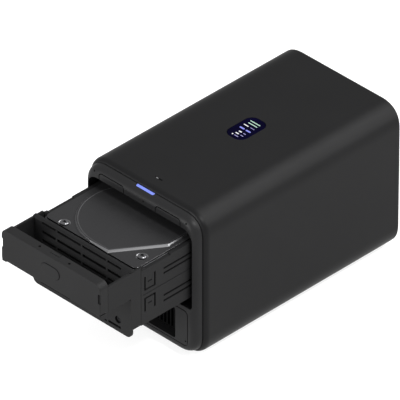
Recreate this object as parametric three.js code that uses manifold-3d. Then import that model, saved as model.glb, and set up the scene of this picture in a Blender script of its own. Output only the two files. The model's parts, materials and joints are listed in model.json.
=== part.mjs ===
// Two-drive network storage enclosure, standing on four feet, with its drive tray pulled partly out.
// Millimetres, +Z up, front towards -Y. The origin lies under the middle of the whole object.
// Each sub-part is a named mesh. The enclosure group has y = 0 at the front face and z = 0 at the body's
// underside. The tray group has y = 0 at the face of its lock button, just in front of the handle plate.
import * as THREE from 'three';
import { mergeVertices } from 'three/addons/utils/BufferGeometryUtils.js';
import Module from 'manifold-3d';

const wasm = await Module();
wasm.setup();

// ---- driving dimensions ----

const GAP = 0.3;
const FOOT_HEIGHT = 2;
const FOOT = { x: 28.3, width: 14.6, length: 13, front: 8.6, rear: 203 };
const TRAY_OUT = 97;
const BODY = { width: 129, height: 135, depth: 226, cornerReach: 21.4, cornerPower: 2.4 };
const SLEEVE = { wall: 3.6, front: 8.2, frontInset: 2.9, frontCurve: 5.2, rearRound: 3.2 };
const BEZEL = { rear: 7.8, faceInset: 9, spigotRear: 16, spigotInset: 3.9, spigotWall: 2.4 };
const BAY = { halfWidth: 57.5, bottom: 48.2, top: 122.4, roundBelow: 3, roundAbove: 10 };
const INTAKE = { halfWidth: 39.4, bottom: 12.8, top: 42 };
const INTAKE_PANEL = { halfWidth: 53.3, bottom: 10.6, top: 44.7, round: 4.2 };
const INTAKE_SEAM_DEPTH = 0.8;
const SEAM_WIDTH = 0.8;
const TAB_SEAM = { x: 31.2, halfWidth: 14, bottom: 116.4, top: 128.6, round: 3, depth: 1.9 };
const DIMPLE = { x: 50.7, radius: 0.8, depth: 1.6, heights: [15.5, 127.3] };
const TOP_MARK = { left: -4.3, right: 4.1, front: 20.6, rear: 22, depth: 0.4 };
const CAGE = { halfWidth: 58.2, sheet: 1.2, floorTop: 47.6, roofTop: 124, front: 17, rear: 190 };
const REAR = { inner: 222.6, outer: 225.4 };
const FAN = { side: 92, x: 0, z: 84.5, front: 197.3, rear: 222.3, bore: 43.5, bladeTip: 42, hub: 19 };
const FAN_HOLE = 41.25;
const BACKPLANE = { front: 194.3, rear: 195.9 };
const MAINBOARD = { halfWidth: 50, front: 62, rear: 219, bottom: 9, top: 10.6 };
const DISPLAY = { halfWidth: 10, front: 101.5, rear: 134, round: 7.5 };
const LIGHT_BAR = { length: 19, width: 2.4, rear: 7.8 };
const TRAY = { halfWidth: 54.65, inside: 51.35, bottom: 59, top: 111.3, front: 45, rear: 191.5 };
const PLATE = { front: 0.5, rear: 9, bottom: 90, top: 119, round: 5.5 };
const HOUSING = { rear: 44.7, top: 114, innerHalfWidth: 52.65, wall: 2 };
const SKIRT = { front: 34, thickness: 2.2, bottom: 51.8, top: 89.9, round: 5 };
const HOUSING_SCREW = { x: 40, z: 63, hole: 3.3, headFront: 35.6, headThickness: 1.2 };
const LOUVER = { bottom: 90.2, top: 113.9, slot: 2.4, rows: [96.7, 104.7], topRow: 112 };
const LOUVER_COLUMNS = [[-43.6, -28.8], [-26.8, -1], [1, 26.8], [28.8, 43.6]];
const TAB = { front: 48.4, rear: 60.6, slit: 1.5, upper: [103.4, 90.2], lower: [70.4, 83.5] };
const TRAY_SLOT = { front: 69.3, rear: 161.3, height: 1.8, rows: [101.4, 96.8, 75.7, 70.5] };
const BUTTON = { z: 105.6, length: 20.4, height: 11, front: 0, rear: 5 };
const DRIVE = { width: 101.6, length: 147, height: 26.1, front: 42.85, castHeight: 22.8 };
const DRIVE_UPPER_BOTTOM = 87.35;
const DRIVE_LOWER_TOP = 86.8;

// ---- finishes ----

const finish = (color, roughness, metalness) => () =>
  new THREE.MeshStandardMaterial({ color, roughness, metalness, flatShading: true });
const shellPlastic = finish(0x29292b, 0.55, 0);
const trayPlastic = finish(0x303033, 0.6, 0);
const blackPlastic = finish(0x151517, 0.5, 0);
const footRubber = finish(0xb9bbbd, 0.8, 0);
const sheetSteel = finish(0x8b8f94, 0.4, 1);
const castAluminium = finish(0x3c3d40, 0.45, 0.8);
const coverMetal = finish(0x46474a, 0.4, 0.8);
const brightSteel = finish(0xc9ccd1, 0.25, 1);
const circuitBoard = finish(0x16261c, 0.55, 0);
const anodised = finish(0x55585d, 0.45, 0.9);
const lightPipe = finish(0x7f93ff, 0.3, 0);
const darkGlass = finish(0x05060c, 0.08, 0);

// ---- solids ----

const X = new THREE.Vector3(1, 0, 0);
const Y = new THREE.Vector3(0, 1, 0);
const Z = new THREE.Vector3(0, 0, 1);
const ALONG_X = new THREE.Matrix4().makeBasis(Y, Z, X);
const ALONG_Y = new THREE.Matrix4().makeBasis(X, Z, Y.clone().negate());

function solid(geometry) {
  geometry.deleteAttribute('normal');
  geometry.deleteAttribute('uv');
  const merged = mergeVertices(geometry, 1e-4);
  const corners = Array.from(merged.index.array);
  const triangles = [];
  for (let i = 0; i < corners.length; i += 3) {
    const [a, b, c] = corners.slice(i, i + 3);
    if (a !== b && b !== c && c !== a) triangles.push(a, b, c);
  }
  return new wasm.Manifold(new wasm.Mesh({
    numProp: 3,
    vertProperties: Float32Array.from(merged.attributes.position.array),
    triVerts: Uint32Array.from(triangles),
  }));
}

const cut = (body, ...tools) => tools.reduce((left, tool) => left.subtract(tool), body);
const join = (...bodies) => bodies.reduce((sum, body) => sum.add(body));

function node(group, name, body, material) {
  const { numProp, vertProperties, triVerts } = body.getMesh();
  const geometry = new THREE.BufferGeometry();
  geometry.setAttribute('position', new THREE.BufferAttribute(vertProperties, numProp));
  geometry.setIndex(new THREE.BufferAttribute(triVerts, 1));
  geometry.computeVertexNormals();
  const mesh = new THREE.Mesh(geometry, material());
  mesh.name = name;
  group.add(mesh);
  return mesh;
}

function box(x0, x1, y0, y1, z0, z1) {
  const geometry = new THREE.BoxGeometry(x1 - x0, y1 - y0, z1 - z0);
  geometry.translate((x0 + x1) / 2, (y0 + y1) / 2, (z0 + z1) / 2);
  return solid(geometry);
}

// A shape drawn in (y, z), run along x.
function prismX(shape, x0, x1, curveSegments = 4) {
  const geometry = new THREE.ExtrudeGeometry(shape, { depth: x1 - x0, bevelEnabled: false, curveSegments });
  geometry.applyMatrix4(ALONG_X);
  geometry.translate(x0, 0, 0);
  return solid(geometry);
}

// A shape drawn in (x, z), run along y. Both ends may curve in by bevel.inset over bevel.depth.
function prismY(shape, y0, y1, curveSegments = 4, bevel = null) {
  const ends = bevel ? bevel.depth : 0;
  const geometry = new THREE.ExtrudeGeometry(shape, {
    depth: y1 - y0 - 2 * ends,
    bevelEnabled: Boolean(bevel),
    bevelThickness: ends,
    bevelSize: bevel ? bevel.inset : 0,
    bevelOffset: bevel ? -bevel.inset : 0,
    bevelSegments: bevel ? bevel.steps : 0,
    curveSegments,
  });
  geometry.applyMatrix4(ALONG_Y);
  geometry.translate(0, y1 - ends, 0);
  return solid(geometry);
}

// A shape drawn in (x, y), run along z.
function prismZ(shape, z0, z1, curveSegments = 4) {
  const geometry = new THREE.ExtrudeGeometry(shape, { depth: z1 - z0, bevelEnabled: false, curveSegments });
  geometry.translate(0, 0, z0);
  return solid(geometry);
}

function rodX(y, z, radius, x0, x1, sides = 12) {
  const geometry = new THREE.CylinderGeometry(radius, radius, x1 - x0, sides);
  geometry.rotateZ(Math.PI / 2);
  geometry.translate((x0 + x1) / 2, y, z);
  return solid(geometry);
}

function rodY(x, z, radius, y0, y1, sides = 12) {
  const geometry = new THREE.CylinderGeometry(radius, radius, y1 - y0, sides);
  geometry.translate(x, (y0 + y1) / 2, z);
  return solid(geometry);
}

function rodZ(x, y, radius, z0, z1, sides = 12) {
  const geometry = new THREE.CylinderGeometry(radius, radius, z1 - z0, sides);
  geometry.rotateX(Math.PI / 2);
  geometry.translate(x, y, (z0 + z1) / 2);
  return solid(geometry);
}

// A rectangle between two corners with its own corner radius on the low and the high pair of corners.
function roundRect(a0, a1, b0, b1, lowRound, highRound = lowRound) {
  const shape = new THREE.Shape();
  shape.moveTo(a0 + lowRound, b0);
  shape.lineTo(a1 - lowRound, b0);
  shape.absarc(a1 - lowRound, b0 + lowRound, lowRound, -Math.PI / 2, 0);
  shape.lineTo(a1, b1 - highRound);
  shape.absarc(a1 - highRound, b1 - highRound, highRound, 0, Math.PI / 2);
  shape.lineTo(a0 + highRound, b1);
  shape.absarc(a0 + highRound, b1 - highRound, highRound, Math.PI / 2, Math.PI);
  shape.lineTo(a0, b0 + lowRound);
  shape.absarc(a0 + lowRound, b0 + lowRound, lowRound, Math.PI, Math.PI * 1.5);
  return shape;
}

function outline(points) {
  return new THREE.Shape(points.map(([a, b]) => new THREE.Vector2(a, b)));
}

// The body's section: straight sides with corners that follow a superellipse.
function bodyOutline(inset, steps = 7) {
  const reach = BODY.cornerReach - inset;
  const centreX = BODY.width / 2 - BODY.cornerReach;
  const centreZ = BODY.height / 2 - BODY.cornerReach;
  const power = 2 / BODY.cornerPower;
  const points = [];
  for (const [corner, [sideX, sideZ]] of [[1, 1], [-1, 1], [-1, -1], [1, -1]].entries()) {
    for (let i = 0; i <= steps; i++) {
      const turn = ((corner + i / steps) * Math.PI) / 2;
      const along = Math.abs(Math.cos(turn)) ** power * reach;
      const up = Math.abs(Math.sin(turn)) ** power * reach;
      points.push([sideX * (centreX + along), BODY.height / 2 + sideZ * (centreZ + up)]);
    }
  }
  return outline(points);
}

// ---- enclosure shell ----

function bezelBlank() {
  const bevel = { depth: BEZEL.rear - 0.2, inset: BEZEL.faceInset - SLEEVE.frontInset, steps: 4 };
  const face = prismY(bodyOutline(SLEEVE.frontInset), 0, 40, 4, bevel);
  return face.intersect(box(-80, 80, -1, BEZEL.rear, -10, 150));
}

function lightBarPrism(margin) {
  const half = LIGHT_BAR.length / 2 + margin;
  const front = LIGHT_BAR.rear - LIGHT_BAR.width - margin;
  return prismZ(roundRect(-half, half, front, LIGHT_BAR.rear + 1, 1), 127 - margin, 140, 2);
}

// A groove in the front face along a rounded outline.
function seam(x0, x1, z0, z1, round, depth) {
  const w = SEAM_WIDTH;
  const inner = roundRect(x0 + w, x1 - w, z0 + w, z1 - w, round - w);
  return cut(prismY(roundRect(x0, x1, z0, z1, round), -1, depth, 3), prismY(inner, -2, depth + 1, 3));
}

function buildShell(group) {
  const longBody = BODY.depth + 40;
  const frontBevel = { depth: SLEEVE.frontCurve, inset: SLEEVE.frontInset, steps: 4 };
  const rearBevel = { depth: SLEEVE.rearRound, inset: SLEEVE.rearRound, steps: 3 };
  const outer = prismY(bodyOutline(0), SLEEVE.front, longBody, 4, frontBevel)
    .intersect(prismY(bodyOutline(0), -40, BODY.depth, 4, rearBevel));
  const displayOutline = roundRect(
    -DISPLAY.halfWidth, DISPLAY.halfWidth, DISPLAY.front, DISPLAY.rear, DISPLAY.round);
  const displayHole = prismZ(displayOutline, 120, 140, 3);
  const topMark = box(TOP_MARK.left, TOP_MARK.right, TOP_MARK.front, TOP_MARK.rear,
    BODY.height - TOP_MARK.depth, 140);
  const sleeve = cut(outer, prismY(bodyOutline(SLEEVE.wall), -1, longBody), displayHole, topMark);
  node(group, 'outer_sleeve', sleeve, shellPlastic);

  const spigot = cut(
    prismY(bodyOutline(BEZEL.spigotInset), BEZEL.rear - 1, BEZEL.spigotRear),
    prismY(bodyOutline(BEZEL.spigotInset + BEZEL.spigotWall), -1, 40));
  const bayOutline = roundRect(
    -BAY.halfWidth, BAY.halfWidth, BAY.bottom, BAY.top, BAY.roundBelow, BAY.roundAbove);
  const bay = prismY(bayOutline, -1, 40, 3);
  const intakeOutline = roundRect(-INTAKE.halfWidth, INTAKE.halfWidth, INTAKE.bottom, INTAKE.top, 2);
  const intake = prismY(intakeOutline, -1, 9, 1);
  const { halfWidth, bottom, top, round } = INTAKE_PANEL;
  const panelSeam = seam(-halfWidth, halfWidth, bottom, top, round, INTAKE_SEAM_DEPTH);
  const tabSeams = [-1, 1].map((side) => seam(
    side * TAB_SEAM.x - TAB_SEAM.halfWidth, side * TAB_SEAM.x + TAB_SEAM.halfWidth,
    TAB_SEAM.bottom, TAB_SEAM.top, TAB_SEAM.round, TAB_SEAM.depth));
  const dimples = [-1, 1].flatMap((side) => DIMPLE.heights.map((z) =>
    rodY(side * DIMPLE.x, z, DIMPLE.radius, -1, DIMPLE.depth, 8)));
  const latchNotch = box(-5.2, 5.2, 4.6, 9, BAY.top - 1, 124.4);
  const sensorHole = rodY(4.2, 125.9, 0.8, -1, 3, 8);
  const bezel = cut(join(bezelBlank(), spigot), bay, intake, panelSeam, ...tabSeams, ...dimples,
    latchNotch, sensorHole, lightBarPrism(GAP));
  node(group, 'front_bezel', bezel, trayPlastic);
  node(group, 'status_light_bar', bezelBlank().intersect(lightBarPrism(0)), lightPipe);

  const grilleFrame = box(-42, 42, 8.2, 11.2, 8.6, 44.6);
  const grilleSlots = [];
  for (let x = -36; x <= 36; x += 4) grilleSlots.push(box(x - 1.2, x + 1.2, 8, 12, 14, 41));
  node(group, 'intake_grille', cut(grilleFrame, ...grilleSlots), blackPlastic);
}

// ---- rear cover, its ports and its screws ----

const ETHERNET = { x: 26, bottom: 10.9, width: 16, height: 13.6, front: 203.5, face: 225 };
const USB = { x: 0, bottom: 10.9, width: 9, height: 3.3, front: 217, face: 225 };
const RESET = { x: -16, z: 12.6, radius: 1.1, front: 216, face: 224.4 };

function buildRear(group) {
  const tools = [];
  for (let row = 0; row < 9; row++) {
    const z = FAN.z + (row - 4) * 8.6;
    const reach = Math.sqrt(40 ** 2 - (z - FAN.z) ** 2);
    const sides = reach > 30 ? [[-reach, -1.6], [1.6, reach]] : [[-reach, reach]];
    for (const [x0, x1] of sides) {
      tools.push(prismY(roundRect(x0, x1, z - 2.4, z + 2.4, 2.39), REAR.inner - 1, REAR.outer + 1, 1));
    }
  }
  const { x, bottom, width, height } = ETHERNET;
  tools.push(box(x - width / 2 - GAP, x + width / 2 + GAP, 220, 228, bottom - GAP, bottom + height + GAP));
  const usbHole = roundRect(
    USB.x - USB.width / 2 - GAP, USB.x + USB.width / 2 + GAP,
    USB.bottom - GAP, USB.bottom + USB.height + GAP, 1.6);
  tools.push(prismY(usbHole, 220, 228, 2));
  tools.push(rodY(RESET.x, RESET.z, RESET.radius + GAP, 220, 228, 10));

  const screws = [];
  for (const [sideX, sideZ] of [[-1, -1], [1, -1], [-1, 1], [1, 1]]) {
    screws.push(['fan_screw', sideX, sideZ, FAN.x + sideX * FAN_HOLE, FAN.z + sideZ * FAN_HOLE, 14]);
    screws.push(['rear_screw', sideX, sideZ, sideX * 54.5, 68 + sideZ * 46, 8]);
  }
  for (const [name, sideX, sideZ, screwX, screwZ, length] of screws) {
    tools.push(rodY(screwX, screwZ, 3.4, REAR.outer - 1.4, 230, 10));
    tools.push(rodY(screwX, screwZ, 1.9, 218, 230, 8));
    const place = `${sideZ > 0 ? 'upper' : 'lower'}_${sideX > 0 ? 'right' : 'left'}`;
    const head = rodY(screwX, screwZ, 3, REAR.outer - 1.3, REAR.outer - 0.1, 10);
    const shank = rodY(screwX, screwZ, 1.5, REAR.outer - length, REAR.outer - 1, 6);
    const drive = box(screwX - 1.7, screwX + 1.7, REAR.outer - 0.8, 230, screwZ - 0.3, screwZ + 0.3);
    const driveAcross = box(screwX - 0.3, screwX + 0.3, REAR.outer - 0.8, 230, screwZ - 1.7, screwZ + 1.7);
    node(group, `${name}_${place}`, cut(join(head, shank), drive, driveAcross), blackPlastic);
  }
  const cover = prismY(bodyOutline(SLEEVE.wall + GAP, 6), REAR.inner, REAR.outer);
  node(group, 'rear_cover', cut(cover, ...tools), shellPlastic);

  const jack = box(x - width / 2, x + width / 2, ETHERNET.front, ETHERNET.face, bottom, bottom + height);
  const jackMouth = join(
    box(x - 5.9, x + 5.9, ETHERNET.face - 13, 228, bottom + 3.6, bottom + 11.6),
    box(x - 3, x + 3, ETHERNET.face - 13, 228, bottom + 1.6, bottom + 4));
  node(group, 'ethernet_port', cut(jack, jackMouth), sheetSteel);

  const usbTop = USB.bottom + USB.height;
  const usb = prismY(
    roundRect(USB.x - USB.width / 2, USB.x + USB.width / 2, USB.bottom, usbTop, 1.6), USB.front, USB.face, 3);
  const usbMouth = cut(
    prismY(
      roundRect(USB.x - 4.15, USB.x + 4.15, USB.bottom + 0.4, usbTop - 0.4, 1.2), USB.face - 6.2, 228, 3),
    box(USB.x - 3.4, USB.x + 3.4, 210, USB.face - 0.6, USB.bottom + 1.3, usbTop - 1.3));
  node(group, 'usb_c_port', cut(usb, usbMouth), brightSteel);
}

// ---- cooling fan ----

function buildFan(group, rotorGroup) {
  const half = FAN.side / 2;
  const hubRear = FAN.rear;
  const hubFront = FAN.rear - 4;
  const ring = cut(
    prismY(roundRect(-half, half, -half, half, 5), FAN.front, FAN.rear, 3),
    rodY(0, 0, FAN.bore, FAN.front - 1, FAN.rear + 1, 32),
    ...[[-1, -1], [1, -1], [-1, 1], [1, 1]].map(([sideX, sideZ]) =>
      rodY(sideX * FAN_HOLE, sideZ * FAN_HOLE, 1.9, FAN.front - 1, FAN.rear + 1, 8)));
  const motor = rodY(0, 0, FAN.hub, hubFront, hubRear, 20);
  const struts = [0, 1, 2, 3].map((i) => {
    const strut = new THREE.BoxGeometry(FAN.bore - FAN.hub + 3, 3.4, 3.2);
    strut.translate((FAN.bore + FAN.hub) / 2, hubRear - 1.7, 0);
    strut.rotateY(((i + 0.5) * Math.PI) / 2);
    return solid(strut);
  });
  const bearing = rodY(0, 0, 1.6, hubFront - 1, hubRear - 1, 10);
  const frame = cut(join(ring, motor, ...struts), bearing);
  node(group, 'fan_frame', frame, blackPlastic).position.set(FAN.x, 0, FAN.z);

  // Each blade is a curved strip drawn in (tangent, y) and run outwards along the radius.
  const bladeShape = outline([[-9, 3.6], [-3, 8.4], [3.2, 12.6], [9.6, 15.8], [9.2, 17.2], [2.6, 14.2],
    [-3.8, 10], [-9.9, 4.8]]);
  const blades = [];
  const bladeCount = 7;
  for (let i = 0; i < bladeCount; i++) {
    const geometry = new THREE.ExtrudeGeometry(bladeShape,
      { depth: FAN.bladeTip - FAN.hub + 2, bevelEnabled: false });
    geometry.translate(0, FAN.front, FAN.hub - 2);
    geometry.rotateY((i / bladeCount) * Math.PI * 2);
    blades.push(solid(geometry));
  }
  const hub = rodY(0, 0, FAN.hub, FAN.front + 0.8, hubFront - 0.6, 20);
  const shaft = rodY(0, 0, 1.2, hubFront - 2, hubRear - 1.6, 10);
  const rotor = join(hub, shaft, ...blades).intersect(rodY(0, 0, FAN.bladeTip, FAN.front, FAN.rear, 42));
  node(rotorGroup, 'fan_rotor', rotor, blackPlastic);
  rotorGroup.position.set(FAN.x, 0, FAN.z);
}

// ---- drive cage, rails and boards ----

function buildCage(group) {
  const { halfWidth, sheet, floorTop, roofTop, front, rear } = CAGE;
  const roofCut = box(-16, 16, 98, 138, 110, 130);
  const cage = cut(
    box(-halfWidth, halfWidth, front, rear, floorTop + GAP, roofTop),
    box(-halfWidth + sheet, halfWidth - sheet, front - 1, rear + 1, 0, roofTop - sheet),
    roofCut);
  const ventRows = [];
  for (let y = 60; y <= 165; y += 15) {
    ventRows.push(prismX(roundRect(y, y + 9, 78, 100, 3), -70, 70, 1));
  }
  node(group, 'drive_cage', cut(cage, ...ventRows), sheetSteel);
  const floorVents = [];
  for (let y = 60; y <= 160; y += 20) floorVents.push(box(-30, 30, y, y + 10, 40, 50));
  const floor = box(-halfWidth, halfWidth, front, rear, floorTop - sheet, floorTop);
  node(group, 'cage_floor', cut(floor, ...floorVents), sheetSteel);

  const railInner = 50.5;
  const railOuter = halfWidth - sheet - GAP;
  for (const [name, side] of [['guide_rail_left', -1], ['guide_rail_right', 1]]) {
    const section = outline([[railOuter, floorTop + GAP], [railOuter, 66], [railOuter - 1.4, 66],
      [railOuter - 1.4, TRAY.bottom - 0.5], [railInner, TRAY.bottom - 0.5], [railInner, TRAY.bottom - 2.2],
      [railOuter - 1.4, TRAY.bottom - 2.2], [railOuter - 1.4, floorTop + GAP]]
      .map(([x, z]) => [side * x, z]));
    node(group, name, prismY(section, 48, 188), blackPlastic);
  }
}

function buildBoards(group) {
  const { front, rear } = BACKPLANE;
  const vents = [-1, 1].flatMap((side) => [57, 91].map((z) =>
    prismY(roundRect(side * 45 - 8, side * 45 + 8, z, z + 24, 2), 190, 199, 1)));
  const backplane = cut(box(-55, 55, front, rear, 50, 121), ...vents);
  node(group, 'backplane_board', backplane, circuitBoard);
  for (const [name, bottom, flip] of [
    ['drive_socket_upper', DRIVE_UPPER_BOTTOM, 1], ['drive_socket_lower', DRIVE_LOWER_TOP, -1]]) {
    const centre = bottom + flip * 5;
    const block = box(-22, 22, front - 3, front - GAP, centre - 3, centre + 3);
    const slot = box(-20.4, 20.4, front - 4, front - 1.2, centre - 1.1, centre + 1.1);
    node(group, name, cut(block, slot), blackPlastic).position.x = flip * 12;
  }
  const { halfWidth, bottom, top } = MAINBOARD;
  const boardHoles = [];
  for (const [name, x, y] of [['board_screw_front_left', -44, 70], ['board_screw_front_right', 44, 70],
    ['board_screw_rear_left', -44, 196], ['board_screw_rear_right', 44, 196]]) {
    boardHoles.push(rodZ(x, y, 1.7, 0, 20, 8));
    const head = rodZ(x, y, 2.8, top + GAP, top + 2, 10);
    const shank = rodZ(x, y, 1.4, 5.4, top + 1, 8);
    node(group, name, join(head, shank), brightSteel);
  }
  const mainboard = box(-halfWidth, halfWidth, MAINBOARD.front, MAINBOARD.rear, bottom, top);
  node(group, 'mainboard', cut(mainboard, ...boardHoles), circuitBoard);

  const finGaps = [];
  for (let x = -26.25; x <= 26.5; x += 7.5) finGaps.push(box(x - 2.4, x + 2.4, 80, 160, top + 5, 60));
  const sink = box(-30, 30, 92, 148, top + GAP, 32);
  node(group, 'heat_sink', cut(sink, ...finGaps), anodised);
}

// ---- top display ----

function buildDisplay(group) {
  const { halfWidth, front, rear, round } = DISPLAY;
  const glassTop = BODY.height - 0.15;
  const glass = roundRect(-halfWidth + GAP, halfWidth - GAP, front + GAP, rear - GAP, round - GAP);
  node(group, 'display_glass', prismZ(glass, glassTop - 1.4, glassTop, 3), darkGlass);
  const panel = roundRect(-halfWidth + 1, halfWidth - 1, front + 1, rear - 1, round - 1);
  node(group, 'display_panel', prismZ(panel, glassTop - 5.4, glassTop - 1.7, 2), blackPlastic);
  node(group, 'display_board', box(-13, 13, front - 1, rear + 1, 127.4, 129), circuitBoard);
}

// ---- feet ----

function buildFeet(group) {
  for (const [name, side, y] of [['foot_front_left', -1, FOOT.front], ['foot_front_right', 1, FOOT.front],
    ['foot_rear_left', -1, FOOT.rear], ['foot_rear_right', 1, FOOT.rear]]) {
    const centre = side * FOOT.x;
    const pad = roundRect(centre - FOOT.width / 2, centre + FOOT.width / 2, y, y + FOOT.length, 3);
    node(group, name, prismZ(pad, -FOOT_HEIGHT, -GAP, 3), footRubber);
  }
}

// ---- drive tray ----

// A three-sided slit through the tray's wall, which leaves a springy tab. Its closed side is at z = joined.
function tabSlit(open, joined) {
  const { front, rear, slit } = TAB;
  const low = Math.min(open, joined);
  const high = Math.max(open, joined);
  const across = joined > open ? high - slit : low;
  return join(
    box(50, 60, front, front + slit, low, high),
    box(50, 60, rear - slit, rear, low, high),
    box(50, 60, front, rear, across, across + slit));
}

function buildTrayFrame(group) {
  const { halfWidth, inside, bottom, top, front, rear } = TRAY;
  const blank = box(-halfWidth, halfWidth, front, rear, bottom, top);
  const inner = box(-inside, inside, front - 1, rear - 1.4, bottom - 1, top + 1);
  const rearWindow = box(-inside + 6, inside - 6, rear - 5, rear + 1, bottom + 5, top + 1);
  const lowerRearWindow = box(-inside, inside, rear - 5, rear + 1, top - 6, top + 1);
  const frontStep = [-1, 1].map((side) =>
    box(side * 53 - 3, side * 53 + 3, front - 1, 77, top - 0.9, top + 1));
  const shell = cut(blank, inner, rearWindow, lowerRearWindow, ...frontStep);
  const lugs = [-1, 1].map((side) =>
    prismX(roundRect(front, front + 5.4, top - 3, top + 0.8, 0.3, 1.8), side * 53 - 1.4, side * 53 + 1.4, 3));
  const ledges = [-1, 1].map((side) => box(
    Math.min(side * 46, side * (inside + 1)), Math.max(side * 46, side * (inside + 1)),
    front, rear, bottom, bottom + 1.2));
  // The front cross-member stands behind the housing's skirt and takes its two screws.
  const webInner = DRIVE.width / 2 + 0.4;
  const webOuter = HOUSING.innerHalfWidth - GAP;
  const memberRear = DRIVE.front - 0.6;
  const member = box(-webOuter, webOuter, memberRear - 2.6, memberRear, 62.1, 76);
  const webs = [-1, 1].map((side) => box(
    Math.min(side * webInner, side * webOuter), Math.max(side * webInner, side * webOuter),
    memberRear - 2.6, front + 2, 62.1, 76));
  const screwHoles = [-1, 1].map((side) => rodY(side * HOUSING_SCREW.x, HOUSING_SCREW.z, 1.6, 30, 44, 8));
  const crossbars = [78, 112, 146].map((y) =>
    box(-halfWidth + 1, halfWidth - 1, y, y + 8, bottom, bottom + 1.2));
  const rightSide = [tabSlit(...TAB.upper), tabSlit(...TAB.lower)];
  const halfSlot = TRAY_SLOT.height / 2;
  for (const z of TRAY_SLOT.rows) {
    rightSide.push(box(50, 60, TRAY_SLOT.front, TRAY_SLOT.rear, z - halfSlot, z + halfSlot));
  }
  for (const z of [97.6, 77]) rightSide.push(box(halfWidth - 0.6, 60, 52, 56.6, z - 0.6, z + 0.6));
  rightSide.push(box(halfWidth - 0.3, 60, front + 2, rear - 6, 86.6, 87.5));
  const bothSides = rightSide.flatMap((tool) => [tool, tool.mirror([1, 0, 0])]);
  const solidFrame = join(shell, member, ...webs, ...lugs, ...ledges, ...crossbars);
  node(group, 'tray_frame', cut(solidFrame, ...screwHoles, ...bothSides), trayPlastic);
}

function buildTrayHousing(group) {
  const { halfWidth } = TRAY;
  const { rear, top, wall } = HOUSING;
  const { front: skirt, thickness, bottom: skirtBottom, top: skirtTop, round } = SKIRT;
  const front = PLATE.rear + GAP;
  const mirrored = (low, high, y0, y1, z0, z1) =>
    [box(low, high, y0, y1, z0, z1), box(-high, -low, y0, y1, z0, z1)];
  const sides = mirrored(halfWidth - wall, halfWidth, front, rear, PLATE.bottom, top);
  const sideReturns = mirrored(halfWidth - wall, halfWidth, skirt, rear, 59.6, PLATE.bottom + 4);
  const skirtShape = roundRect(-halfWidth, halfWidth, skirtBottom, skirtTop, round, 0.01);
  const skirtPlate = prismY(skirtShape, skirt, skirt + thickness, 3);
  const shelf = box(-halfWidth, halfWidth, skirt, DRIVE.front - 0.6, 59.6, 61.8);
  const pocketFloor = box(-halfWidth + 1, halfWidth - 1, 24.6, skirt + 1, skirtTop - 1.8, skirtTop);
  const bar = prismX(outline([[36.5, 104], [38.2, 104], [38.2, 114.8], [37.6, 115.4], [35.8, 115.4],
    [34.8, 115.1], [34.2, 114.6], [34, 114.2], [36.5, 114.2]]), -halfWidth + 0.5, halfWidth - 0.5);
  const { x: screwX, z: screwZ, hole, headFront, headThickness } = HOUSING_SCREW;
  const headRear = headFront + headThickness;
  const bosses = [-1, 1].map((side) => rodY(side * screwX, screwZ, 5, skirt + 1, 39.3, 16));
  const holes = [-1, 1].flatMap((side) => [
    rodY(side * screwX, screwZ, hole, 30, headRear + GAP, 16),
    rodY(side * screwX, screwZ, 1.6, 30, 44, 8)]);
  const slots = [[29.3, 43, 55.4, 57.6], [25.2, 27.6, 55, 56.4], [-45.8, -13.4, 55, 56.6]]
    .map(([x0, x1, z0, z1]) => box(x0, x1, 30, 40, z0, z1));
  const body = join(...sides, ...sideReturns, skirtPlate, shelf, pocketFloor, bar, ...bosses);
  node(group, 'handle_housing', cut(body, ...slots, ...holes), trayPlastic);

  for (const [name, side] of [['housing_screw_left', -1], ['housing_screw_right', 1]]) {
    const head = rodY(side * screwX, screwZ, 2.9, headFront, headRear, 12);
    const shank = rodY(side * screwX, screwZ, 1.3, headFront + 1, DRIVE.front - 0.8, 8);
    const slot = box(
      side * screwX - 1.8, side * screwX + 1.8, skirt, headFront + 0.6, screwZ - 0.4, screwZ + 0.4);
    node(group, name, cut(join(head, shank), slot), brightSteel);
  }

  // The louvred wall stands under the bar; its topmost slots are open at the top.
  const louvers = LOUVER_COLUMNS.flatMap(([x0, x1]) => [
    box(x0, x1, 30, 40, LOUVER.topRow, 120),
    ...LOUVER.rows.map((z) => box(x0, x1, 30, 40, z - LOUVER.slot / 2, z + LOUVER.slot / 2)),
  ]);
  const reach = halfWidth - wall - GAP;
  const wallPlate = box(-reach, reach, skirt, skirt + thickness, LOUVER.bottom, LOUVER.top);
  node(group, 'louver_panel', cut(wallPlate, ...louvers), trayPlastic);
}

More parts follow.
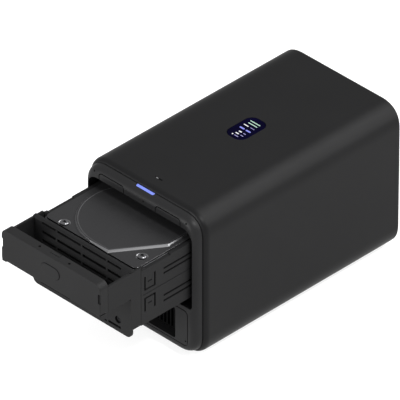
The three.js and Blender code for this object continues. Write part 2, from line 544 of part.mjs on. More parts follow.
function buildHandlePlate(group, buttonGroup, latchGroup) {
  const { halfWidth } = TRAY;
  const { front, rear, bottom, top, round } = PLATE;
  const slab = prismY(roundRect(-halfWidth, halfWidth, bottom, top, 2, round), front, rear, 5);
  const feet = [-1, 1].map((side) =>
    box(side * 52.3 - 2.3, side * 52.3 + 2.3, front + 0.3, rear - 2, 88.7, 93));
  const pill = (margin, y0, y1) => prismY(roundRect(
    -BUTTON.length / 2 + margin, BUTTON.length / 2 - margin,
    BUTTON.z - BUTTON.height / 2 + margin, BUTTON.z + BUTTON.height / 2 - margin,
    BUTTON.height / 2 - margin - 0.01), y0, y1, 5);
  const chamber = box(-13, 13, 2.6, rear + 1, 97.4, 116.6);
  const latchSlot = box(-4.9, 4.9, 5, 8.6, 115, top + 1);
  const topHoles = [-1, 1].map((side) => rodZ(side * 16.4, 5, 1.2, top - 5, top + 1, 8));
  const endNotches = [-1, 1].map((side) => box(
    Math.min(side * 52.3, side * 60), Math.max(side * 52.3, side * 60), -1, front + 1.3, 101.3, 110.3));
  const plate = cut(join(slab, ...feet), pill(0, -1, 4), chamber, latchSlot, ...topHoles, ...endNotches);
  node(group, 'handle_plate', plate, trayPlastic);
  node(buttonGroup, 'lock_button', pill(GAP, BUTTON.front, BUTTON.rear), trayPlastic);
  const tongue = prismX(outline([[5.4, 111.6], [8.2, 113.4], [8.2, 119.2], [5.4, 119.2]]), -4.5, 4.5);
  node(latchGroup, 'latch_tongue', tongue, blackPlastic);
}

// ---- hard drives ----

// The cover's raised part: a disc's arc on the left, a slanting cut at the front right, and a straight rear.
function raisedCover() {
  const centreX = 1.6;
  const centreY = 46.6;
  const shape = new THREE.Shape();
  shape.moveTo(19.3, 1);
  shape.lineTo(46.4, 39.8);
  shape.lineTo(46.4, 116);
  shape.absarc(38.4, 116, 8, 0, Math.PI / 2);
  shape.lineTo(-10, 124);
  shape.absarc(centreX, centreY, 45.6, Math.PI * 0.8, Math.PI * 1.5);
  return shape;
}

function buildDrive(group, name, place) {
  const half = DRIVE.width / 2;
  const { length, height, castHeight } = DRIVE;
  const drive = new THREE.Group();
  const cast = prismZ(roundRect(-half, half, 0, length, 2.5), 0, castHeight, 2);
  const boardPocket = box(-half + 3, half - 3, 40, length + 1, -1, 2.2);
  const plugNotch = box(-10, 34, length - 5, length + 1, -1, 8);
  const sideHoles = [-1, 1].flatMap((side) => [16.9, 118.5].map((y) =>
    rodX(y, 6.35, 1.6, side > 0 ? half - 5 : -half - 1, side > 0 ? half + 1 : -half + 5, 8)));
  node(drive, `${name}_body`, cut(cast, boardPocket, plugNotch, ...sideHoles), castAluminium);
  node(drive, `${name}_board`, box(-half + 3.4, half - 3.4, 40.4, length - 6, 0.2, 1.8), circuitBoard);

  const screws = [['front_right', 42.2, 15.5], ['front_left', -32.5, 4.4], ['rear_right', 44.6, length - 8],
    ['rear_left', -44.6, length - 8]];
  const sheetOutline = roundRect(-half + 0.3, half - 0.3, 0.3, length - 0.3, 4.5);
  const coverPlate = prismZ(sheetOutline, castHeight + GAP, height - 0.7, 3);
  const raised = prismZ(raisedCover(), castHeight + 1, height - GAP, 10);
  const holes = screws.map(([, x, y]) => rodZ(x, y, 2.1, castHeight, height + 1, 10));
  node(drive, `${name}_cover`, cut(join(coverPlate, raised), ...holes), coverMetal);
  for (const [corner, x, y] of screws) {
    const head = rodZ(x, y, 3.6, height - 0.4, height, 14);
    const stem = rodZ(x, y, 1.7, castHeight + GAP, height - 0.2, 10);
    node(drive, `${name}_screw_${corner}`, join(head, stem), brightSteel);
  }
  drive.position.set(0, DRIVE.front, place.z);
  drive.rotation.y = place.turn;
  group.add(drive);
}

// ---- assembly ----

const object = new THREE.Group();
const enclosure = new THREE.Group();
const fanRotor = new THREE.Group();
const tray = new THREE.Group();
const lockButton = new THREE.Group();
const latch = new THREE.Group();

const objectLength = BODY.depth + TRAY_OUT;
enclosure.position.set(0, TRAY_OUT - objectLength / 2, FOOT_HEIGHT);
tray.position.set(0, -TRAY_OUT, 0);
tray.add(lockButton, latch);
enclosure.add(fanRotor, tray);
object.add(enclosure);

buildShell(enclosure);
buildRear(enclosure);
buildFan(enclosure, fanRotor);
buildCage(enclosure);
buildBoards(enclosure);
buildDisplay(enclosure);
buildFeet(enclosure);
const reset = rodY(RESET.x, RESET.z, RESET.radius, RESET.front, RESET.face, 10);
node(enclosure, 'reset_button', reset, blackPlastic);

buildTrayFrame(tray);
buildTrayHousing(tray);
buildHandlePlate(tray, lockButton, latch);
buildDrive(tray, 'drive_upper', { z: DRIVE_UPPER_BOTTOM, turn: 0 });
buildDrive(tray, 'drive_lower', { z: DRIVE_LOWER_TOP, turn: Math.PI });

export default object;
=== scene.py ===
"""Looks for the two-drive storage enclosure, built round its CAD frame. Metres, +Z up, front towards -Y."""
import json
import math

import bmesh
import bpy
from mathutils import Matrix, Vector

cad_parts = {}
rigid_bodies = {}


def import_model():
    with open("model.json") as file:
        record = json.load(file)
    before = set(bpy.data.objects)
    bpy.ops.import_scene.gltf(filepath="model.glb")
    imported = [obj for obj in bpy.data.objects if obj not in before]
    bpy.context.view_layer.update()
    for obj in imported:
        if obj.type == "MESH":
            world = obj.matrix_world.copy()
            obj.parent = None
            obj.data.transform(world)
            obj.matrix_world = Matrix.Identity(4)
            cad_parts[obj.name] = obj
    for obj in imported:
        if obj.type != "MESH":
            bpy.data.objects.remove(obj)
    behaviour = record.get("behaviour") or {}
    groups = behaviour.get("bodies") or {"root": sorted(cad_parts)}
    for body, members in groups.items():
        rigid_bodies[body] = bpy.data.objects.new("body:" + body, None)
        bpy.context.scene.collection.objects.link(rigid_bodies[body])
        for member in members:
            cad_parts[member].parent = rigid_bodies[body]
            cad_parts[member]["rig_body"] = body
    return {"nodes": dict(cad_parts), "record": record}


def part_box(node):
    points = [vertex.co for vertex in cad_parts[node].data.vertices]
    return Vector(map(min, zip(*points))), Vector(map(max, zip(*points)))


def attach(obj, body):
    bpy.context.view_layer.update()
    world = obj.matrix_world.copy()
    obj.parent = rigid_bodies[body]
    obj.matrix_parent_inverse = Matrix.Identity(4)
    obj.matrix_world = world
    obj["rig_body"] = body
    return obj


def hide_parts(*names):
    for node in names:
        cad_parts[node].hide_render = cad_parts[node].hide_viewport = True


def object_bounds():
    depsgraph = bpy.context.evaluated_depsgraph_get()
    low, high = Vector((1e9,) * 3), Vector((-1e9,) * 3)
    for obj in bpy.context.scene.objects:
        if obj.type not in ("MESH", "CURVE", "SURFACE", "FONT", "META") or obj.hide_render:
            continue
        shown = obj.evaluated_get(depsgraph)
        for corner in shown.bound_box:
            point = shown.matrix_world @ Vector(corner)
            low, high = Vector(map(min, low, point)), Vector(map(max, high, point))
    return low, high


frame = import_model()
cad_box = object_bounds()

MM = 0.001
SCENE = bpy.context.scene
NODES = frame["nodes"]

# ---- camera ----

VIEW_AZIMUTH = 45.13
VIEW_ELEVATION = 35.2
VIEW_DISTANCE = 8.0
LENS = 915.2
AIM_OFFSET = Vector((-0.0237, 0.0256, 0.0019))


def direction(azimuth, elevation):
    """From the object towards a camera or light; azimuth 0 is in front of it, 90 on its right."""
    a, e = math.radians(azimuth), math.radians(elevation)
    return Vector((math.sin(a) * math.cos(e), -math.cos(a) * math.cos(e), math.sin(e)))


def make_camera():
    lo, hi = cad_box
    data = bpy.data.cameras.new("camera")
    data.lens = LENS
    data.sensor_width = 36.0
    data.clip_end = 40.0
    camera = bpy.data.objects.new("camera", data)
    back = direction(VIEW_AZIMUTH, VIEW_ELEVATION)
    camera.location = (lo + hi) / 2 + AIM_OFFSET + back * VIEW_DISTANCE
    camera.rotation_euler = (-back).to_track_quat("-Z", "Y").to_euler()
    SCENE.collection.objects.link(camera)
    SCENE.camera = camera


make_camera()

# ---- materials ----


class Nodes:
    """A material's node tree with short calls for its nodes and links."""

    def __init__(self, name):
        self.material = bpy.data.materials.new(name)
        self.material.use_nodes = True
        self.tree = self.material.node_tree
        self.tree.nodes.clear()
        self.output = self.add("ShaderNodeOutputMaterial")
        self.place = self.add("ShaderNodeTexCoord").outputs["Object"]

    def add(self, kind, **inputs):
        node = self.tree.nodes.new(kind)
        for key, value in inputs.items():
            socket = node.inputs[key.replace("_", " ")]
            if isinstance(value, bpy.types.NodeSocket):
                self.tree.links.new(value, socket)
            else:
                socket.default_value = value
        return node

    def noise(self, scale, detail=3.0, stretch=(1, 1, 1)):
        mapping = self.add("ShaderNodeMapping", Vector=self.place, Scale=stretch)
        noise = self.add("ShaderNodeTexNoise", Vector=mapping.outputs["Vector"], Scale=scale, Detail=detail)
        return noise.outputs["Fac"]

    def spread(self, value, low, high, from_low=0.3, from_high=0.7):
        """The value moved from its own range to low .. high."""
        node = self.add("ShaderNodeMapRange", Value=value, From_Min=from_low, From_Max=from_high,
                        To_Min=low, To_Max=high)
        return node.outputs["Result"]

    def arithmetic(self, operation, *values):
        node = self.add("ShaderNodeMath")
        node.operation = operation
        for socket, value in zip(node.inputs, values):
            self.tree.links.new(value, socket)
        return node.outputs["Value"]

    def mix(self, factor, first, second):
        node = self.add("ShaderNodeMix")
        node.data_type = "RGBA"
        self.tree.links.new(factor, node.inputs["Factor"])
        for socket, value in ((node.inputs[6], first), (node.inputs[7], second)):
            if isinstance(value, bpy.types.NodeSocket):
                self.tree.links.new(value, socket)
            else:
                socket.default_value = (*value, 1.0)
        return node.outputs[2]

    def edges(self, radius, gain):
        """About 1 on edges that stick out or in, 0 on flats."""
        bevel = self.add("ShaderNodeBevel", Radius=radius)
        bevel.samples = 4
        flat = self.add("ShaderNodeNewGeometry").outputs["Normal"]
        dot = self.add("ShaderNodeVectorMath")
        dot.operation = "DOT_PRODUCT"
        self.tree.links.new(bevel.outputs["Normal"], dot.inputs[0])
        self.tree.links.new(flat, dot.inputs[1])
        return self.spread(dot.outputs["Value"], gain, 0.0, 0.8, 1.0)

    def bump(self, height, strength, distance):
        bump = self.add("ShaderNodeBump", Height=height, Strength=strength, Distance=distance)
        return bump.outputs["Normal"]

    def surface(self, **inputs):
        shader = self.add("ShaderNodeBsdfPrincipled", **inputs)
        self.tree.links.new(shader.outputs["BSDF"], self.output.inputs["Surface"])
        return self.material


def plastic(name, color, roughness, specular, grain=1400.0, grain_depth=0.00003, wear=0.25):
    """Moulded plastic: fine spark-eroded grain, cloudy sheen and slightly lighter handled edges."""
    n = Nodes(name)
    dark = [c * 0.94 for c in color]
    light = [c * 1.06 for c in color]
    worn = [c * 2.2 + 0.01 for c in color]
    body = n.mix(n.spread(n.noise(22.0), 0.0, 1.0), dark, light)
    paint = n.mix(n.edges(0.0005, wear), body, worn)
    sheen = n.spread(n.noise(60.0, 4.0), roughness - 0.015, roughness + 0.015)
    normal = n.bump(n.noise(grain, 2.0), 0.35, grain_depth)
    return n.surface(Base_Color=paint, Roughness=sheen, Specular_IOR_Level=specular, Normal=normal)


def metal(name, color, roughness, brushed=(1, 1, 1), scale=500.0, grain_depth=0.00001, wear=0.3):
    """Metal with fine directional scratches, uneven sheen and bright rubbed edges."""
    n = Nodes(name)
    dark = [c * 0.8 for c in color]
    light = [min(1.0, c * 1.15) for c in color]
    worn = [min(1.0, c * 1.8 + 0.08) for c in color]
    scratches = n.noise(scale, 3.0, brushed)
    body = n.mix(n.spread(n.noise(35.0), 0.0, 1.0), dark, light)
    paint = n.mix(n.edges(0.0004, wear), body, worn)
    sheen = n.spread(scratches, roughness - 0.07, roughness + 0.08)
    normal = n.bump(scratches, 0.3, grain_depth)
    return n.surface(Base_Color=paint, Metallic=1.0, Roughness=sheen, Normal=normal)


def cover_sheet(name, color, bevel_highlight_color, roughness):
    """Painted cover sheet, finely brushed, whose pressed bevels get a much lighter colour as a painted
    highlight.
    """
    n = Nodes(name)
    streaks = n.noise(1500.0, 3.0, (1, 0.05, 1))
    body = n.mix(n.spread(streaks, 0.0, 1.0), [c * 0.93 for c in color], [c * 1.07 for c in color])
    body = n.mix(n.spread(n.noise(14.0), 0.0, 1.0), body, [c * 1.05 for c in color])
    facing = n.add("ShaderNodeSeparateXYZ", Vector=n.add("ShaderNodeNewGeometry").outputs["True Normal"])
    level = n.arithmetic("ABSOLUTE", facing.outputs["Z"])
    not_flat = n.spread(level, 1.0, 0.0, 0.93, 0.97)
    not_upright = n.spread(level, 0.0, 1.0, 0.2, 0.5)
    # The slanted bevel faces take the lighter colour: a painted highlight.
    bevel = n.arithmetic("MULTIPLY", not_flat, not_upright)
    paint = n.mix(bevel, body, bevel_highlight_color)
    dull = n.spread(streaks, roughness - 0.04, roughness + 0.05)
    sheen = n.mix(bevel, dull, (0.3, 0.3, 0.3))
    normal = n.bump(streaks, 0.2, 0.000006)
    return n.surface(Base_Color=paint, Metallic=0.85, Roughness=sheen, Normal=normal)


def circuit_board(name):
    """Solder mask with faint traces and tinned pads."""
    n = Nodes(name)
    traces = n.add("ShaderNodeTexBrick", Vector=n.place, Scale=210.0, Mortar_Size=0.06)
    mask = n.mix(traces.outputs["Fac"], (0.004, 0.022, 0.014), (0.012, 0.055, 0.035))
    pads = n.add("ShaderNodeTexVoronoi", Vector=n.place, Scale=260.0)
    spots = n.spread(pads.outputs["Distance"], 1.0, 0.0, 0.10, 0.16)
    color = n.mix(spots, mask, (0.42, 0.40, 0.36))
    sheen = n.spread(n.noise(90.0), 0.3, 0.45)
    normal = n.bump(traces.outputs["Fac"], 0.4, 0.00004)
    return n.surface(Base_Color=color, Roughness=sheen, Specular_IOR_Level=0.5, Normal=normal)


def glow(name, color, strength):
    """A lit mark or light guide, a little uneven along its length."""
    n = Nodes(name)
    lit = n.mix(n.spread(n.noise(160.0), 0.0, 1.0), [c * 0.82 for c in color], color)
    return n.surface(Base_Color=(0.02, 0.02, 0.03, 1.0), Roughness=n.spread(n.noise(300.0), 0.25, 0.4),
                     Emission_Color=lit, Emission_Strength=strength)


def dark_glass(name):
    """Smoked cover glass over the display, nearly black with a navy cast."""
    n = Nodes(name)
    color = n.mix(n.spread(n.noise(45.0), 0.0, 1.0), (0.0004, 0.0003, 0.004), (0.0007, 0.0004, 0.008))
    sheen = n.spread(n.noise(120.0), 0.26, 0.34)
    return n.surface(Base_Color=color, Roughness=sheen, Specular_IOR_Level=0.008)


MATERIALS = {
    "shell_plastic": plastic("shell_plastic", (0.0040, 0.0040, 0.0042), 0.44, 0.075, wear=0.04),
    "tray_plastic": plastic("tray_plastic", (0.0062, 0.0062, 0.0064), 0.46, 0.066, wear=0.06),
    "black_plastic": plastic("black_plastic", (0.006, 0.006, 0.0065), 0.5, 0.3, wear=0.2),
    "foot_rubber": plastic("foot_rubber", (0.065, 0.066, 0.068), 0.75, 0.2, grain=900.0, wear=0.05),
    "sheet_steel": metal("sheet_steel", (0.42, 0.43, 0.45), 0.42, (1, 0.05, 1)),
    "cast_aluminium": metal("cast_aluminium", (0.10, 0.10, 0.105), 0.5, grain_depth=0.00004),
    # The second colour is the painted highlight on the drive covers' slanted bevels.
    "cover_metal": cover_sheet("cover_metal", (0.0225, 0.0225, 0.0235), (0.17, 0.17, 0.175), 0.62),
    "bright_steel": metal("bright_steel", (0.62, 0.63, 0.65), 0.22),
    "circuit_board": circuit_board("circuit_board"),
    "anodised": metal("anodised", (0.12, 0.12, 0.13), 0.45, (1, 0.04, 1)),
    "light_pipe": glow("light_pipe", (0.19, 0.28, 1.0), 1.0),
    "dark_glass": dark_glass("dark_glass"),
}

# Pieces whose finish differs a little from the rest of their slot. The bezel and plate copies of the tray
# plastic are lighter as painted light, and the top dash inlays paint a highlight and a shade.
DRIVE_SCREW = metal("drive_screw", (0.13, 0.13, 0.135), 0.24, grain_depth=0.000004)
# The top dash's bright dot is a painted highlight and its near-black bar is painted shade.
INLAY = {"bright_steel": metal("inlay_steel_painted_highlight", (0.30, 0.30, 0.31), 0.35),
         "black_plastic": plastic("inlay_painted_shade", (0.0008, 0.0008, 0.0009), 0.8, 0.02, wear=0.0)}
# A lighter copy of the tray plastic: painted light on the front-facing bezel, also used for the louver panel.
BEZEL_PLASTIC_PAINTED_LIGHT = plastic("bezel_plastic_painted_light", (0.0082, 0.0082, 0.0085), 0.42, 0.08, wear=0.06)
# A lighter copy of the tray plastic: painted light on the handle plate, its lock button and latch tongue.
PLATE_PLASTIC_PAINTED_LIGHT = plastic("plate_plastic_painted_light", (0.0076, 0.0076, 0.0078), 0.48, 0.066, wear=0.06)
MARK_WHITE = glow("mark_white", (1.0, 1.0, 1.0), 1.0)
MARK_DIM = glow("mark_dim", (0.42, 0.38, 0.78), 0.9)
MARK_BLUE = glow("mark_blue", (0.24, 0.27, 1.0), 0.95)
MARK_GREEN = glow("mark_green", (0.50, 0.80, 0.58), 0.95)
DARK_SCREW = metal("dark_screw", (0.02, 0.02, 0.021), 0.5, wear=0.05)
DARK_GRILLE = plastic("dark_grille", (0.0016, 0.0016, 0.0017), 0.8, 0.03, wear=0.0)

SLOT_OF = {row["node"]: row["material_slot"] for row in frame["record"]["subparts"]}
BODY_OF = {node: obj["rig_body"] for node, obj in NODES.items()}

# ---- mesh helpers ----

SLEEVE_SETBACK = 8.2
sleeve_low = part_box("outer_sleeve")[0] / MM
ENCLOSURE = Vector((0.0, sleeve_low.y - SLEEVE_SETBACK, sleeve_low.z))
TRAY = Vector((0.0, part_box("lock_button")[0].y / MM, sleeve_low.z))


def finish_mesh(name, bm, material, smooth_limit=40.0):
    """A mesh object from bm, smooth over shallow edges and crisp over sharp ones."""
    bmesh.ops.recalc_face_normals(bm, faces=bm.faces)
    mesh = bpy.data.meshes.new(name)
    bm.to_mesh(mesh)
    bm.free()
    obj = bpy.data.objects.new(name, mesh)
    SCENE.collection.objects.link(obj)
    mesh.materials.append(material)
    for face in mesh.polygons:
        face.use_smooth = True
    mesh.set_sharp_from_angle(angle=math.radians(smooth_limit))
    normals = obj.modifiers.new("normals", "WEIGHTED_NORMAL")
    normals.keep_sharp = True
    normals.weight = 60
    return obj


def soften(bm, width, segments=2, limit=28.0):
    """Merges coplanar faces, then rounds every edge sharper than limit degrees by width in mm."""
    bmesh.ops.remove_doubles(bm, verts=bm.verts, dist=1e-6)
    bmesh.ops.dissolve_limit(bm, angle_limit=math.radians(0.4), verts=bm.verts, edges=bm.edges,
                             use_dissolve_boundaries=False)
    edges = [e for e in bm.edges if e.is_manifold and e.calc_face_angle(0) > math.radians(limit)]
    if width > 0 and edges:
        bmesh.ops.bevel(bm, geom=edges, offset=width * MM, offset_type="OFFSET", segments=segments,
                        profile=0.6, affect="EDGES", clamp_overlap=True)
    return bm


def adopt(obj, *nodes):
    """obj stands for these CAD nodes, on their body; the nodes are hidden."""
    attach(obj, BODY_OF[nodes[0]])
    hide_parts(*nodes)
    return obj


def refined(node, width, segments=2, material=None):
    """The CAD node again with rounded edges, as a piece named NODE.fine."""
    bm = bmesh.new()
    bm.from_mesh(NODES[node].data)
    soften(bm, width, segments)
    return adopt(finish_mesh(node + ".fine", bm, material or MATERIALS[SLOT_OF[node]]), node)


def add_loft(bm, rings, closed=False):
    """Skins rings of points with equal counts; the ends are capped unless the loft closes on itself."""
    loops = [[bm.verts.new(point) for point in ring] for ring in rings]
    pairs = list(zip(loops, loops[1:]))
    if closed:
        pairs.append((loops[-1], loops[0]))
    for low, high in pairs:
        for i in range(len(low)):
            j = (i + 1) % len(low)
            bm.faces.new((low[i], low[j], high[j], high[i]))
    if not closed:
        bm.faces.new(loops[0][::-1])
        bm.faces.new(loops[-1])
    return bm


def at(origin, x, y, z):
    return (origin + Vector((x, y, z))) * MM


def round_rect(a0, a1, b0, b1, low, high=None, steps=10):
    """Points of a rounded rectangle; its low side's corners and its high side's have a radius each."""
    high = low if high is None else high
    points = []
    for corner, (a, b, radius) in enumerate(((a1, b0, low), (a1, b1, high), (a0, b1, high), (a0, b0, low))):
        centre_a = a - radius if a == a1 else a + radius
        centre_b = b - radius if b == b1 else b + radius
        for i in range(steps + 1):
            turn = (corner - 1 + i / steps) * math.pi / 2
            points.append((centre_a + radius * math.cos(turn), centre_b + radius * math.sin(turn)))
    return points


def circle(a, b, radius, count):
    return [(a + radius * math.cos(2 * math.pi * i / count), b + radius * math.sin(2 * math.pi * i / count))
            for i in range(count)]


def grown(points, amount):
    """The outline moved outward by amount along its corner normals."""
    result = []
    count = len(points)
    for i in range(count):
        before = Vector(points[i - 1])
        here = Vector(points[i])
        after = Vector(points[(i + 1) % count])
        first, second = here - before, after - here
        if first.length < 1e-6:
            first = second
        if second.length < 1e-6:
            second = first
        first.normalize()
        second.normalize()
        normal = Vector((first.y + second.y, -first.x - second.x))
        if normal.length < 1e-6:
            normal = Vector((first.y, -first.x))
        normal.normalize()
        reach = amount / max(0.5, normal.dot(Vector((first.y, -first.x))))
        result.append(tuple(here + normal * reach))
    return result


def stepped(bm, origin, axis, rings):
    """A solid through several (outline, distance) rings along Y, with x, z outlines, or Z, with x, y ones."""
    place = {"Y": lambda a, b, t: at(origin, a, t, b), "Z": lambda a, b, t: at(origin, a, b, t)}[axis]
    return add_loft(bm, [[place(a, b, t) for a, b in shape] for shape, t in rings])


def carve(bm, *cutters):
    """bm with each cutter's volume taken away."""
    def as_object(source):
        bmesh.ops.recalc_face_normals(source, faces=source.faces)
        mesh = bpy.data.meshes.new("work")
        source.to_mesh(mesh)
        source.free()
        obj = bpy.data.objects.new("work", mesh)
        SCENE.collection.objects.link(obj)
        return obj

    body = as_object(bm)
    tools = [as_object(cutter) for cutter in cutters]
    for cutter in tools:
        modifier = body.modifiers.new("carve", "BOOLEAN")
        modifier.object = cutter
        modifier.solver = "EXACT"
    view = bpy.context.evaluated_depsgraph_get()
    carved = bmesh.new()
    carved.from_mesh(body.evaluated_get(view).to_mesh())
    for obj in (body, *tools):
        mesh = obj.data
        bpy.data.objects.remove(obj)
        bpy.data.meshes.remove(mesh)
    return carved


def tool(origin, axis, shape, start, end):
    """A straight prism of the outline."""
    return stepped(bmesh.new(), origin, axis, [(shape, start), (shape, end)])


def block(origin, x0, x1, y0, y1, z0, z1):
    return tool(origin, "Z", [(x0, y0), (x1, y0), (x1, y1), (x0, y1)], z0, z1)


# ---- enclosure shell ----

WIDTH, HEIGHT, DEPTH = 129.0, 135.0, 226.0
CORNER_REACH, CORNER_POWER = 21.4, 2.4
SLEEVE_WALL = 3.6
FRONT_CURVE_REAR, REAR_CURVE_FRONT = 13.4, 222.8
BEZEL_REAR, BEZEL_INSET, FACE_INSET = 7.8, 2.9, 9.0
SPIGOT_REAR, SPIGOT_OUTER, SPIGOT_INNER = 16.0, 3.9, 6.3
BAY = {"x": 57.5, "low": 48.2, "high": 122.4}
INTAKE = {"x": 39.4, "low": 12.8, "high": 42.0}
PANEL_SEAM = {"x": 53.3, "low": 10.6, "high": 44.7, "depth": 0.8}
TAB_SEAM = {"near": 17.2, "far": 45.2, "low": 116.4, "high": 128.6, "depth": 1.9}
DIMPLE_X, DIMPLE_HEIGHTS, DIMPLE_RADIUS, DIMPLE_DEPTH = 50.7, (15.5, 127.3), 0.8, 1.6
DISPLAY = {"x": 10.0, "front": 101.5, "rear": 134.0, "round": 7.5}
MARK = {"left": -4.3, "right": 4.1, "front": 20.6, "rear": 22.0, "depth": 0.4}
THROUGH_TOP = 140.0


def body_ring(inset, y, steps=18):
    """The body's section: straight sides with superellipse corners."""
    reach = CORNER_REACH - inset
    centre_x = WIDTH / 2 - CORNER_REACH
    centre_z = HEIGHT / 2 - CORNER_REACH
    ring = []
    for corner, (side_x, side_z) in enumerate(((1, 1), (-1, 1), (-1, -1), (1, -1))):
        for i in range(steps + 1):
            turn = (corner + i / steps) * math.pi / 2
            along = abs(math.cos(turn)) ** (2 / CORNER_POWER) * reach
            up = abs(math.sin(turn)) ** (2 / CORNER_POWER) * reach
            ring.append(at(ENCLOSURE, side_x * (centre_x + along), y, HEIGHT / 2 + side_z * (centre_z + up)))
    return ring


def curved_rings(y_edge, inset_edge, y_full, inset_full, steps):
    """Rings along a quarter ellipse, from the edge of the section to its full width."""
    rings = []
    for i in range(steps + 1):
        turn = i / steps * math.pi / 2
        y = y_full + (y_edge - y_full) * math.cos(turn)
        inset = inset_edge + (inset_full - inset_edge) * math.sin(turn)
        rings.append(body_ring(inset, y))
    return rings


def make_sleeve():
    rings = curved_rings(SLEEVE_SETBACK, BEZEL_INSET, FRONT_CURVE_REAR, 0.0, 8)
    rings += curved_rings(DEPTH, DEPTH - REAR_CURVE_FRONT, REAR_CURVE_FRONT, 0.0, 6)[::-1]
    rings += [body_ring(SLEEVE_WALL, DEPTH), body_ring(SLEEVE_WALL, SLEEVE_SETBACK)]
    bm = add_loft(bmesh.new(), rings, closed=True)
    window = round_rect(-DISPLAY["x"], DISPLAY["x"], DISPLAY["front"], DISPLAY["rear"], DISPLAY["round"])
    groove = round_rect(MARK["left"], MARK["right"], MARK["front"], MARK["rear"], 0.6, steps=4)
    display = tool(ENCLOSURE, "Z", window, 120, THROUGH_TOP)
    mark = tool(ENCLOSURE, "Z", groove, HEIGHT - MARK["depth"], THROUGH_TOP)
    bm = soften(carve(bm, display, mark), 0.25, 2, 45.0)
    adopt(finish_mesh("outer_sleeve.fine", bm, MATERIALS["shell_plastic"], 50), "outer_sleeve")


def seam_tool(x0, x1, z0, z1, radius, depth, width=0.8):
    outer = round_rect(x0, x1, z0, z1, radius)
    inner = round_rect(x0 + width, x1 - width, z0 + width, z1 - width, radius - width)
    rings = [[at(ENCLOSURE, x, y, z) for x, z in shape]
             for shape, y in ((outer, -1), (outer, depth), (inner, depth), (inner, -1))]
    return add_loft(bmesh.new(), rings, closed=True)


def light_slot(margin):
    half = 9.5 + margin
    outline = round_rect(-half, half, 5.4 - margin, 8.9, 1.1, steps=6)
    return tool(ENCLOSURE, "Z", outline, 127 - margin, THROUGH_TOP)


def make_bezel():
    rings = curved_rings(0.0, FACE_INSET, BEZEL_REAR - 0.2, BEZEL_INSET, 10)
    rings += [body_ring(BEZEL_INSET, BEZEL_REAR), body_ring(SPIGOT_OUTER, BEZEL_REAR),
              body_ring(SPIGOT_OUTER, SPIGOT_REAR), body_ring(SPIGOT_INNER, SPIGOT_REAR),
              body_ring(SPIGOT_INNER, BEZEL_REAR)]
    bm = add_loft(bmesh.new(), rings)
    tab = (TAB_SEAM["low"], TAB_SEAM["high"], 3, TAB_SEAM["depth"])
    cutters = [
        tool(ENCLOSURE, "Y", round_rect(-BAY["x"], BAY["x"], BAY["low"], BAY["high"], 3, 10), -1, 40),
        tool(ENCLOSURE, "Y", round_rect(-INTAKE["x"], INTAKE["x"], INTAKE["low"], INTAKE["high"], 2), -1, 9),
        seam_tool(-PANEL_SEAM["x"], PANEL_SEAM["x"], PANEL_SEAM["low"], PANEL_SEAM["high"], 4.2,
                  PANEL_SEAM["depth"]),
        seam_tool(-TAB_SEAM["far"], -TAB_SEAM["near"], *tab),
        seam_tool(TAB_SEAM["near"], TAB_SEAM["far"], *tab),
        block(ENCLOSURE, -5.2, 5.2, 4.6, 9, 121.4, 124.4),
        tool(ENCLOSURE, "Y", circle(4.2, 125.9, 0.8, 16), -1, 3),
        light_slot(0.3),
    ]
    cutters += [tool(ENCLOSURE, "Y", circle(side * DIMPLE_X, z, DIMPLE_RADIUS, 16), -1, DIMPLE_DEPTH)
                for side in (-1, 1) for z in DIMPLE_HEIGHTS]
    bm = soften(carve(bm, *cutters), 0.25, 2, 45.0)
    adopt(finish_mesh("front_bezel.fine", bm, BEZEL_PLASTIC_PAINTED_LIGHT, 50), "front_bezel")


def make_inlays():
    """The dash let into the top behind the bezel: a bright dot as a painted highlight and a sunk dark bar as
    painted shade.
    """
    for name, x0, x1, top, slot in (("top_dot_painted_highlight.fine", -2.6, -0.8, 134.95, "bright_steel"),
                                    ("top_bar_painted_shade.fine", -0.4, 3.7, 134.75, "black_plastic")):
        bar = round_rect(x0, x1, 20.85, 21.75, 0.42, steps=4)
        bm = stepped(bmesh.new(), ENCLOSURE, "Z", [(bar, 134.45), (bar, top - 0.1), (grown(bar, -0.1), top)])
        obj = finish_mesh(name, bm, INLAY[slot])
        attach(obj, "enclosure")


make_sleeve()
make_inlays()
make_bezel()

# ---- display ----


GLASS_GAP = 0.3
GLASS_LOW, GLASS_TOP = 133.4, 134.9


def make_display():
    x = DISPLAY["x"] - GLASS_GAP
    outline = round_rect(-x, x, DISPLAY["front"] + GLASS_GAP, DISPLAY["rear"] - GLASS_GAP,
                         DISPLAY["round"] - GLASS_GAP)
    bm = stepped(bmesh.new(), ENCLOSURE, "Z", [
        (outline, GLASS_LOW), (outline, GLASS_TOP - 0.15), (grown(outline, -0.2), GLASS_TOP)])
    adopt(finish_mesh("display_glass.fine", bm, MATERIALS["dark_glass"]), "display_glass")


def lit_marks(name, shapes, material):
    """Rounded marks on the display: (x0, x1, y0, y1) each."""
    bm = bmesh.new()
    for x0, x1, y0, y1 in shapes:
        x0, x1, y0, y1 = x0 + 0.15, x1 - 0.15, y0 + 0.12, y1 - 0.12
        radius = 0.45 * min(x1 - x0, y1 - y0)
        foot = round_rect(x0, x1, y0, y1, radius, steps=4)
        crown = round_rect(x0 + 0.05, x1 - 0.05, y0 + 0.05, y1 - 0.05, radius - 0.05, steps=4)
        stepped(bm, ENCLOSURE, "Z", [(foot, GLASS_TOP), (crown, GLASS_TOP + 0.06)])
    obj = finish_mesh(name, bm, material)
    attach(obj, "enclosure")


